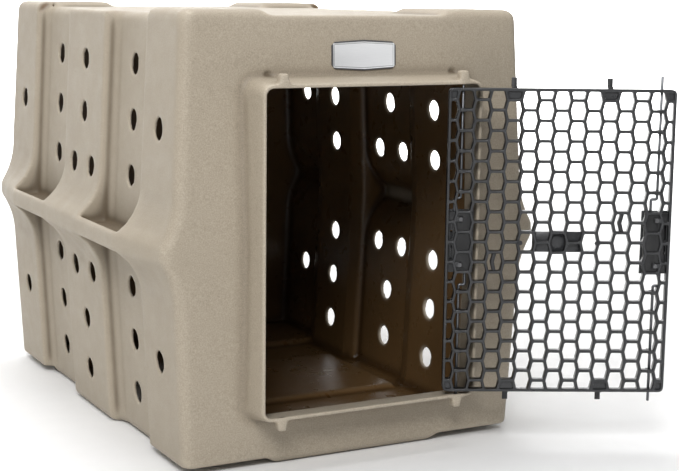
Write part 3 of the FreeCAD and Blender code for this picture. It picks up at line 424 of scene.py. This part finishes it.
def tube(path, radius, sides=14):
    """Round bar along a path with domed ends; returns points and faces."""
    path = [Vector(p) for p in path]
    rings = []
    side = Vector((1, 0, 0))
    for i, p in enumerate(path):
        before = path[max(i - 1, 0)]
        after = path[min(i + 1, len(path) - 1)]
        along = (after - before).normalized()
        side = (side - along * side.dot(along)).normalized()
        rings.append((p, side.copy(), along.cross(side), along))
    verts, faces = [], []
    stations = [(rings[0], -radius * 0.30, 0.55), (rings[0], -radius * 0.12, 0.86)]
    stations += [(ring, 0.0, 1.0) for ring in rings]
    stations += [(rings[-1], radius * 0.12, 0.86), (rings[-1], radius * 0.30, 0.55)]
    for (p, a, b, along), shift, scale in stations:
        for k in range(sides):
            t = 2 * math.pi * k / sides
            verts.append(p + along * shift + (a * math.cos(t) + b * math.sin(t)) * radius * scale)
    for i in range(len(stations) - 1):
        for k in range(sides):
            j = (k + 1) % sides
            faces.append((i * sides + k, i * sides + j, (i + 1) * sides + j, (i + 1) * sides + k))
    faces.append(tuple(range(sides)))
    last = (len(stations) - 1) * sides
    faces.append(tuple(last + k for k in range(sides)))
    return verts, faces


def rounded_path(points, radius, steps=6):
    """Polyline with its inner corners replaced by arcs."""
    points = [Vector(p) for p in points]
    path = [points[0]]
    for i in range(1, len(points) - 1):
        back = (points[i - 1] - points[i]).normalized()
        ahead = (points[i + 1] - points[i]).normalized()
        for k in range(steps + 1):
            t = k / steps
            a = points[i] + back * radius * (1 - t)
            b = points[i] + ahead * radius * t
            path.append(a.lerp(b, t))
    path.append(points[-1])
    return path


def rough_object(name, verts, faces):
    """Mesh object in millimetres, without a material, for cutting."""
    mesh = bpy.data.meshes.new(name)
    mesh.from_pydata([tuple(v) for v in verts], [], faces)
    turn_outwards(mesh)
    return add_object(name, mesh)


def block(low, high):
    """Corner points and faces of a box."""
    (x0, y0, z0), (x1, y1, z1) = low, high
    verts = [(x, y, z) for z in (z0, z1) for y in (y0, y1) for x in (x0, x1)]
    faces = [(0, 2, 3, 1), (4, 5, 7, 6), (0, 1, 5, 4), (2, 6, 7, 3), (0, 4, 6, 2), (1, 3, 7, 5)]
    return verts, faces


# ------------------------------------------------------------------ moulded body
def read_vectors(items, name):
    values = np.empty(len(items) * 3, np.float32)
    items.foreach_get(name, values)
    return values.reshape(-1, 3)


def write_points(mesh, co):
    mesh.vertices.foreach_set("co", co.astype(np.float32).ravel())
    mesh.update()


def neighbour_mean(values, edges, degree):
    total = np.empty_like(values)
    for axis in range(values.shape[1]):
        total[:, axis] = (np.bincount(edges[:, 0], values[edges[:, 1], axis], len(values))
                          + np.bincount(edges[:, 1], values[edges[:, 0], axis], len(values)))
    return total / degree[:, None]


def smoothed(values, edges, degree, steps, rate):
    """Copy of the values, moved towards their neighbours' mean a number of times."""
    values = values.copy()
    for _ in range(steps):
        values += (neighbour_mean(values, edges, degree) - values) * rate
    return values


def side_vents():
    """(y, z) of the vent holes of a side wall."""
    places = []
    for way in (-1, 1):
        low, middle, high = (BELT_Z + way * row for row in VENT_ROWS)
        for end in (-1, 1):
            places += [(end * VENT_FULL_Y, z) for z in (low, middle, high)]
            places += [(end * VENT_LOW_Y, low), (end * VENT_MIDDLE_Y, middle)]
        places += [(0.0, middle), (0.0, high)]
    return places


def vent_distances(co):
    """For each vent hole: how far every point is from its axis, and whether it is on that wall."""
    x, y, z = co.T
    for vent_y, vent_z in side_vents():
        yield np.hypot(y - vent_y, z - vent_z), np.abs(x) > SIDE_X
    for vent_x in REAR_VENT_X:
        for vent_z in REAR_VENT_Z:
            yield np.hypot(x - vent_x, z - vent_z), y > REAR_Y


def relax_limits(co):
    """How freely each point may relax (little at the rim and the vents), and which points line a hole."""
    free = 1 - RIM_HOLD * np.clip((RIM_Y - co[:, 1]) / 0.010, 0, 1)
    lining = np.zeros(len(co), bool)
    for away, wall in vent_distances(co):
        free *= 1 - HOLE_HOLD * np.clip((VENT_HOLD - away) / 0.006, 0, 1) * wall
        lining |= (away < VENT_LINING) & wall
    return free, lining


def groove_side(co):
    """True for points on the outer faces of the side grooves, which look inwards in places."""
    x, y, z = np.abs(co[:, 0]), np.abs(co[:, 1]), co[:, 2]
    wall = SIDE_WALL_X - SIDE_DRAFT * np.abs(z - BELT_Z)
    into = np.minimum(y - GROOVE_Y[0], GROOVE_Y[1] - y)
    depth, start = np.zeros(len(co)), 0.0
    for step, run in GROOVE_STEPS:
        depth += step * np.clip((into - start) / run, 0, 1)
        start += run
    slack_y, slack_x = 0.001, 0.0027
    return (into > -slack_y) & (x > wall - depth - slack_x)


def clear_bores(co):
    """Push the skin clear of the rods. Returns 1 for points near a rod hole's axis and 2 on it."""
    bore = np.zeros(len(co), np.int8)
    for x in (-ROD_X * MM, ROD_X * MM):
        off = co[:, :2] - (x, PIVOT.y * MM)
        away = np.maximum(np.linalg.norm(off, axis=1), 1e-6)
        level = np.zeros(len(co), bool)
        for low, high in BORE_Z:
            level |= (co[:, 2] > low) & (co[:, 2] < high)
        near = (away < BORE_CLEAR) & level
        co[near, :2] += off[near] * (BORE_CLEAR / away[near] - 1)[:, None]
        bore[near] = 1
        bore[near & (away < BORE_CORE)] = 2
    return bore


def open_bores(mesh, bore):
    """Remove the skin that closes the rod holes, by clear_bores' marks."""
    corners = np.empty(len(mesh.loops), np.int64)
    mesh.loops.foreach_get("vertex_index", corners)
    starts = np.empty(len(mesh.polygons), np.int64)
    mesh.polygons.foreach_get("loop_start", starts)
    marks = bore[corners]
    inside = (np.minimum.reduceat(marks, starts) > 0) | (np.maximum.reduceat(marks, starts) > 1)
    bm = bmesh.new()
    bm.from_mesh(mesh)
    bm.faces.ensure_lookup_table()
    bmesh.ops.delete(bm, geom=[bm.faces[i] for i in np.nonzero(inside)[0]], context="FACES")
    bm.to_mesh(mesh)
    bm.free()


def cabin_shade_marks(co, normals, lining):
    """1 where the skin faces into the cabin, else 0: the mask of the painted shade inside."""
    toward = ((CABIN_MIDDLE - co) * normals).sum(1)
    cabin = (np.abs(co[:, 0]) < CABIN_X) & (co[:, 1] > CABIN_Y[0]) & (co[:, 1] < CABIN_Y[1])
    return ((toward > 0.02) & cabin & ~groove_side(co) & ~lining).astype(float)


def relief_marks(co, normals, edges, degree):
    """Hollows and proud edges: where a broadly smoothed copy of the skin lies above or below it. The hollows,
    with the groove pockets at the belt, get painted shade.
    """
    broad = smoothed(co, edges, degree, BROAD_STEPS, BROAD_RATE)
    rise = ((broad - co) * normals).sum(1)
    crease_shade = np.clip((rise - CREASE_SHADE_FROM) / CREASE_SHADE_SPAN, 0, 1)
    crease_shade *= np.where(co[:, 1] < FRONT_BACK, 0.45, 1.0)
    # painted shade on the groove floors where they cross the belt
    pocket = groove_side(co) & (np.abs(co[:, 2] - BELT_Z) < POCKET_HALF_Z) & (np.abs(co[:, 0]) < POCKET_X)
    edge = np.clip((-rise - EDGE_FROM) / EDGE_SPAN, 0, 1)
    return np.maximum(crease_shade, np.where(pocket, 0.9, 0.0)), edge


def sink_dimples(co, normals):
    """Press the two shallow dimples into the front wall. Returns 1 where it is sunk most, 0 where not."""
    wall = (normals[:, 1] < -0.5) & (co[:, 1] > FRONT_Y) & (co[:, 1] < FRONT_BACK)
    sunk = np.zeros(len(co))
    for x in DIMPLE_X:
        away = np.hypot(co[:, 0] - x, co[:, 2] - DIMPLE_Z)
        sunk += np.clip((DIMPLE_R - away) / DIMPLE_FADE, 0, 1) * wall
    co[:, 1] += DIMPLE_DEPTH * sunk
    return sunk


def build_body():
    """The moulded body with soft edges: remeshed, then relaxed more on the broad edges than at the rim."""
    obj = add_object("body_look", nodes["body_shell"].data.copy())
    remesh = obj.modifiers.new("remesh", "REMESH")
    remesh.mode = "VOXEL"
    remesh.voxel_size = VOXEL
    apply_modifiers(obj)
    mesh = obj.data
    start = read_vectors(mesh.vertices, "co").astype(np.float64)
    edges = np.empty(len(mesh.edges) * 2, np.int64)
    mesh.edges.foreach_get("vertices", edges)
    edges = edges.reshape(-1, 2)
    degree = np.maximum(np.bincount(edges.ravel(), minlength=len(start)), 1).astype(float)
    free, lining = relax_limits(start)
    co = smoothed(start, edges, degree, RELAX_STEPS, (free * RELAX_RATE)[:, None])
    co = np.clip(co, start.min(0), start.max(0))
    bore = clear_bores(co)
    write_points(mesh, co)
    normals = read_vectors(mesh.vertices, "normal")
    # mask of the painted shade inside the cabin
    inside = cabin_shade_marks(co, normals, lining)
    crease_shade, edge = relief_marks(co, normals, edges, degree)
    # the dimples get painted shade as well
    crease_shade = np.maximum(crease_shade, sink_dimples(co, normals))
    write_points(mesh, co)
    for name, marks in (("inside", inside), ("edge", edge), ("crease_shade", crease_shade)):
        layer = mesh.attributes.new(name, "FLOAT", "POINT")
        spread = smoothed(marks[:, None], edges, degree, 3, 0.5)
        layer.data.foreach_set("value", spread[:, 0].astype(np.float32))
    open_bores(mesh, bore)
    mesh.materials.clear()
    mesh.materials.append(TAN)
    mesh.shade_smooth()
    return stand_in(obj, "body_shell")


# ------------------------------------------------------------------ honeycomb door
def cell_points(x, z, grow, low, high, left, right):
    """Rounded tall hexagon, clipped to the panel's frame, as (x, z) points going round."""
    half = (PITCH_Z - CELL_WEB) / 2
    right_half = [(CELL_FLAT, -half), (CELL_WAIST, 0.0), (CELL_FLAT, half)]
    corners = right_half[1:] + [(-cx, -cz) for cx, cz in right_half] + right_half[:1]
    shape = [(x + cx, z + cz) for cx, cz in corners]
    for axis, limit, keep_below in ((1, low, False), (1, high, True), (0, left, False), (0, right, True)):
        clipped = []
        for i, here in enumerate(shape):
            last = shape[i - 1]
            inside_here = here[axis] <= limit if keep_below else here[axis] >= limit
            inside_last = last[axis] <= limit if keep_below else last[axis] >= limit
            if inside_here != inside_last:
                t = (limit - last[axis]) / (here[axis] - last[axis])
                clipped.append(tuple(last[k] + (here[k] - last[k]) * t for k in (0, 1)))
            if inside_here:
                clipped.append(here)
        shape = clipped
    return round_polygon(offset_polygon(shape, grow), CELL_ROUND + grow)


def offset_polygon(points, grow):
    """Convex polygon with every side moved outwards."""
    points = [Vector(p) for p in points]
    area = sum(a.x * b.y - b.x * a.y for a, b in zip(points, points[1:] + points[:1]))
    if area < 0:
        points.reverse()
    clean = [p for i, p in enumerate(points) if (p - points[i - 1]).length > 0.05]
    result = []
    for i, p in enumerate(clean):
        before, after = p - clean[i - 1], clean[(i + 1) % len(clean)] - p
        n1 = Vector((before.y, -before.x)).normalized()
        n2 = Vector((after.y, -after.x)).normalized()
        result.append(p + (n1 + n2) * (grow / (1 + n1.dot(n2))))
    return result


def round_polygon(points, radius, steps=3):
    result = []
    count = len(points)
    for i, p in enumerate(points):
        back = points[i - 1] - p
        ahead = points[(i + 1) % count] - p
        half = back.angle(ahead) / 2
        reach = min(radius / math.tan(half), 0.45 * back.length, 0.45 * ahead.length)
        a, b = p + back.normalized() * reach, p + ahead.normalized() * reach
        for k in range(steps + 1):
            t = k / steps
            result.append(a.lerp(p, t).lerp(p.lerp(b, t), t))
    return result


def door_cells(wanted_filled):
    """(x, z) of the open cells, or of the filled ones, from the door's middle."""
    cells = []
    for column in range(-LAST_COLUMN, LAST_COLUMN + 1):
        count = 16 if column % 2 else 15
        for row in range(count):
            z = (row - (count - 1) / 2) * PITCH_Z
            filled = abs(z) > HALF_H - 8 and abs(column) in FILLED_COLUMNS
            if filled == wanted_filled:
                cells.append((column * PITCH_X, z))
    return cells


def wall_levels():
    """(depth, distance outwards) down a wall between the two faces, rounded over at both."""
    levels = []
    for k in range(EDGE_STEPS + 1):
        t = math.pi / 2 * k / EDGE_STEPS
        levels.append((FACE_OUT + EDGE_ROUND * (1 - math.cos(t)), EDGE_ROUND * (1 - math.sin(t))))
    return levels + [(FACE_IN + FACE_OUT - depth, away) for depth, away in reversed(levels)]


def add_rings(verts, faces, levels, outline_at):
    """Rings of points at the given levels, joined by faces; returns the indices of the first and last."""
    rings = []
    for depth, away in levels:
        ring = outline_at(away)
        rings.append(list(range(len(verts), len(verts) + len(ring))))
        verts.extend((p.x, depth, p.y) for p in ring)
    for below, above in zip(rings, rings[1:]):
        count = len(below)
        for k in range(count):
            j = (k + 1) % count
            faces.append((below[k], below[j], above[j], above[k]))
    return rings[0], rings[-1]


def panel_solid():
    """Points and faces of the honeycomb with rounded cell edges, from the door's middle (x, depth, z)."""
    limits = (-HALF_H + PANEL_RIM, HALF_H - PANEL_RIM, -HALF_W + PANEL_RIM, HALF_W - PANEL_RIM)
    corners = [Vector((x * HALF_W, z * HALF_H)) for x, z in ((-1, -1), (1, -1), (1, 1), (-1, 1))]
    verts, faces = [], []

    def border(away):
        return round_polygon(offset_polygon(corners, -away), PANEL_CORNER - away, 6)

    loops = [add_rings(verts, faces, wall_levels(), border)]
    for x, z in door_cells(False):
        loops.append(add_rings(verts, faces, wall_levels(), lambda away: cell_points(x, z, away, *limits)))
    floor_levels = ((FACE_IN - CELL_FLOOR, -0.4), (FACE_IN - EDGE_ROUND, 0.0), (FACE_IN - 0.3, 0.3),
                    (FACE_IN, EDGE_ROUND))
    recesses = []
    for x, z in door_cells(True):
        floor, brim = add_rings(verts, faces, floor_levels, lambda away: cell_points(x, z, away, *limits))
        faces.append(tuple(floor))
        recesses.append(brim)
    for loops_here in ([outer for outer, _ in loops], [inner for _, inner in loops] + recesses):
        flat, sets = [], []
        for loop in loops_here:
            sets.append(list(range(len(flat), len(flat) + len(loop))))
            flat += loop
        points = [Vector((verts[i][0], verts[i][2])) for i in flat]
        _, _, out_faces, origin, _, owners = delaunay_2d_cdt(points, [], sets, 1, 1e-5)
        for face, owner in zip(out_faces, owners):
            if owner == [0]:
                faces.append(tuple(flat[origin[i][0]] for i in face))
    return verts, faces


def door_cutters():
    """Bores, channels and latch pockets of the panel, from the door's middle."""
    above = FACE_OUT - 2
    parts = []
    for _, side in EDGES:
        x = side * ROD_X
        parts.append(tube([(x, 0, -HALF_H - 5), (x, 0, HALF_H + 5)], ROD_R + 0.15, 16))
        left, right = (LATCH_INNER, LATCH_OUTER) if side > 0 else (LATCH_OUTER, LATCH_INNER)
        parts.append(block((x - left, above, -LATCH_HALF_Z), (x + right, LATCH_DEPTH, LATCH_HALF_Z)))
        for _, way in WAYS:
            start = x + min(0.0, way * ROD_JOG) - CHANNEL_HALF
            end = start + ROD_JOG + 2 * CHANNEL_HALF
            low, high = sorted(way * z for z in CHANNEL_Z)
            parts.append(block((start, above, low), (end, CHANNEL_DEPTH, high)))
    half_x, half_z, depth = PLATE_SEAT
    parts.append(block((-half_x, above, -half_z), (half_x, depth, half_z)))
    return parts


def build_panel():
    obj = rough_object("door_panel_look", *panel_solid())
    cutters = [rough_object(f"door_cutter_{i}", *shape) for i, shape in enumerate(door_cutters())]
    for tool in cutters:
        boolean = obj.modifiers.new("cut", "BOOLEAN")
        boolean.operation = "DIFFERENCE"
        boolean.solver = "EXACT"
        boolean.object = tool
    apply_modifiers(obj)
    for tool in cutters:
        bpy.data.objects.remove(tool)
    turn = Matrix.Rotation(math.radians(DOOR_ANGLE), 4, "Z")
    place = Matrix.Translation(PIVOT) @ turn @ Matrix.Translation((DOOR_X, 0, DOOR_Z))
    obj.data.transform(Matrix.Scale(MM, 4) @ place)
    paint(obj.data, CHARCOAL, 38.0)
    return stand_in(obj, "door_panel")


def build_bosses():
    """Small rod guides where the rods cross the webs, and lugs for the latch screws."""
    guide_x, guide_z = 4.6, 2.4
    lug_x, lug_z, screw_z = (-3.6, 8.0), 3.6, 32.0
    shapes = []
    for _, side in EDGES:
        x = side * ROD_X
        for row in range(-LAST_COLUMN, LAST_COLUMN + 1):
            z = (row + 0.5) * PITCH_Z
            if abs(z) < 66 or abs(z) > HALF_H - 4:
                continue
            for low, high in ((2.6, FACE_IN + 1.0), (FACE_OUT - 0.4, -2.6)):
                shapes.append(block((x - guide_x, low, z - guide_z), (x + guide_x, high, z + guide_z)))
        left, right = sorted(side * end for end in lug_x)
        for _, way in WAYS:
            z = way * screw_z
            shapes.append(block((x + left, 4.7, z - lug_z), (x + right, FACE_IN - 0.3, z + lug_z)))
    verts, faces = [], []
    for corners, sides in shapes:
        faces.extend(tuple(len(verts) + i for i in side) for side in sides)
        verts.extend((x + DOOR_X, y, z + DOOR_Z) for x, y, z in corners)
    obj = new_object("rod_guides", door_to_row(verts), faces, CHARCOAL)
    round_edges(obj, 0.7)
    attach(obj, "door")
    return obj


def build_rods():
    for edge, side in EDGES:
        x = side * ROD_X + DOOR_X
        for word, way in WAYS:
            lane = x + ROD_JOG * way
            tip, jog, end = (DOOR_Z + way * z for z in (HALF_H + ROD_REACH[word] - 0.6, ROD_JOG_Z, ROD_END_Z))
            path = rounded_path([(x, 0, tip), (x, 0, jog), (lane, 0, jog), (lane, 0, end)], ROD_BEND)
            verts, faces = tube(path, ROD_R)
            obj = new_object(f"rod_{word}_{edge}_look", door_to_row(verts), faces, ROD, 60.0)
            stand_in(obj, f"rod_{word}_{edge}")


def build_spring(word, edge):
    """Copy of the CAD spring, shown in its place with a mesh of its own."""
    node = f"spring_{word}_{edge}"
    spring = finish_mesh(f"{node}_look", nodes[node].data.copy(), SPRING, 60.0)
    stand_in(spring, node)
    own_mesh(spring)


# ------------------------------------------------------------------ put it together
def dress_small_parts():
    for edge, _ in EDGES:
        softened(f"latch_case_{edge}", LATCH, 0.35)
        softened(f"latch_cover_{edge}", CHARCOAL, 0.5)
        softened(f"guide_pin_{edge}", BLACK, 0.4)
        softened(f"hook_clip_{edge}", BLACK, 0.7)
        nodes[f"latch_screws_{edge}"].data.materials.clear()
        nodes[f"latch_screws_{edge}"].data.materials.append(SCREW)
        for word, way in WAYS:
            softened(f"slider_{word}_{edge}", BLACK, 0.7)
            softened(f"stop_tab_{word}_{edge}", STRIP, 0.35)
            build_spring(word, edge)
    softened("centre_plate", CHARCOAL, 0.35)
    softened("nameplate", PLATE, 0.3)


def build_stage():
    """Pale seamless floor and backdrop, just under the object."""
    left, right, front, bend, radius, top = -14.0, 18.0, -6.0, 5.0, 3.0, 12.0
    n = Nodes("stage_paper")
    fibre = n.noise(35.0, 4.0)
    color = n.mix(fibre, rgb(0.80, 0.80, 0.80), rgb(0.83, 0.83, 0.83))
    rough = n.remap(fibre, 0.0, 1.0, 0.8, 0.95)
    paper = n.done(color, rough, n.bump(fibre, 0.0001, 0.2), specular=0.1)
    profile = [(front, 0.0), (bend, 0.0)]
    for k in range(1, 13):
        t = math.pi / 2 * k / 12
        profile.append((bend + radius * math.sin(t), radius - radius * math.cos(t)))
    profile.append((bend + radius, top))
    verts = [(x, y, z) for y, z in profile for x in (left, right)]
    faces = [(2 * i, 2 * i + 1, 2 * i + 3, 2 * i + 2) for i in range(len(profile) - 1)]
    mesh = bpy.data.meshes.new("stage_floor")
    mesh.from_pydata(verts, [], faces)
    mesh.materials.append(paper)
    mesh.shade_smooth()
    obj = add_object("stage_floor", mesh)
    obj.location.z = -0.0005


def area_light(name, place, target, size, power):
    light = bpy.data.lights.new(name, "AREA")
    light.shape = "RECTANGLE"
    light.size, light.size_y = size
    light.energy = power
    obj = add_object(name, light)
    obj.location = place
    obj.rotation_euler = (Vector(target) - Vector(place)).to_track_quat("-Z", "Y").to_euler()


def build_light():
    world = bpy.data.worlds.new("studio")
    bpy.context.scene.world = world
    world.use_nodes = True
    back = world.node_tree.nodes["Background"]
    back.inputs["Color"].default_value = (1.0, 1.0, 1.0, 1.0)
    back.inputs["Strength"].default_value = 0.30
    area_light("key_light", (-1.9, -3.1, 3.0), (0, 0, 0.3), (1.4, 1.4), 135)
    area_light("top_light", (0.0, 0.4, 3.4), (0, 0, 0.3), (2.4, 2.4), 90)
    area_light("side_light", (-3.4, 1.4, 1.6), (0, 0.2, 0.3), (1.4, 1.8), 12)
    area_light("far_floor_light", (2.4, 3.4, 3.2), (3.2, 6.0, 0.0), (7.0, 2.0), 700)
    area_light("backdrop_light", (3.0, 4.6, 4.2), (3.6, 8.0, 0.8), (8.0, 1.5), 500)


def build_camera():
    """Three-quarter view from the front left, a little above."""
    ahead = Vector((0.46680, 0.86928, -0.16291)).normalized()
    yaw, roll = math.radians(28.234), math.radians(-0.724)
    right = Vector((math.cos(yaw), -math.sin(yaw), 0.0))
    down = ahead.cross(right)
    x_axis = right * math.cos(roll) + down * math.sin(roll)
    y_axis = right * math.sin(roll) - down * math.cos(roll)
    data = bpy.data.cameras.new("camera")
    data.sensor_width = 36.0
    data.lens = 79.845
    data.clip_end = 100.0
    obj = add_object("camera", data)
    matrix = Matrix((x_axis, y_axis, -ahead)).transposed().to_4x4()
    matrix.translation = Vector((-0.98509, -2.15066, 0.64332))
    obj.matrix_world = matrix
    bpy.context.scene.camera = obj


build_body()
build_panel()
build_bosses()
build_rods()
dress_small_parts()
build_stage()
build_light()
build_camera()
scene = bpy.context.scene
scene.view_settings.view_transform = "Standard"
scene.view_settings.look = "None"
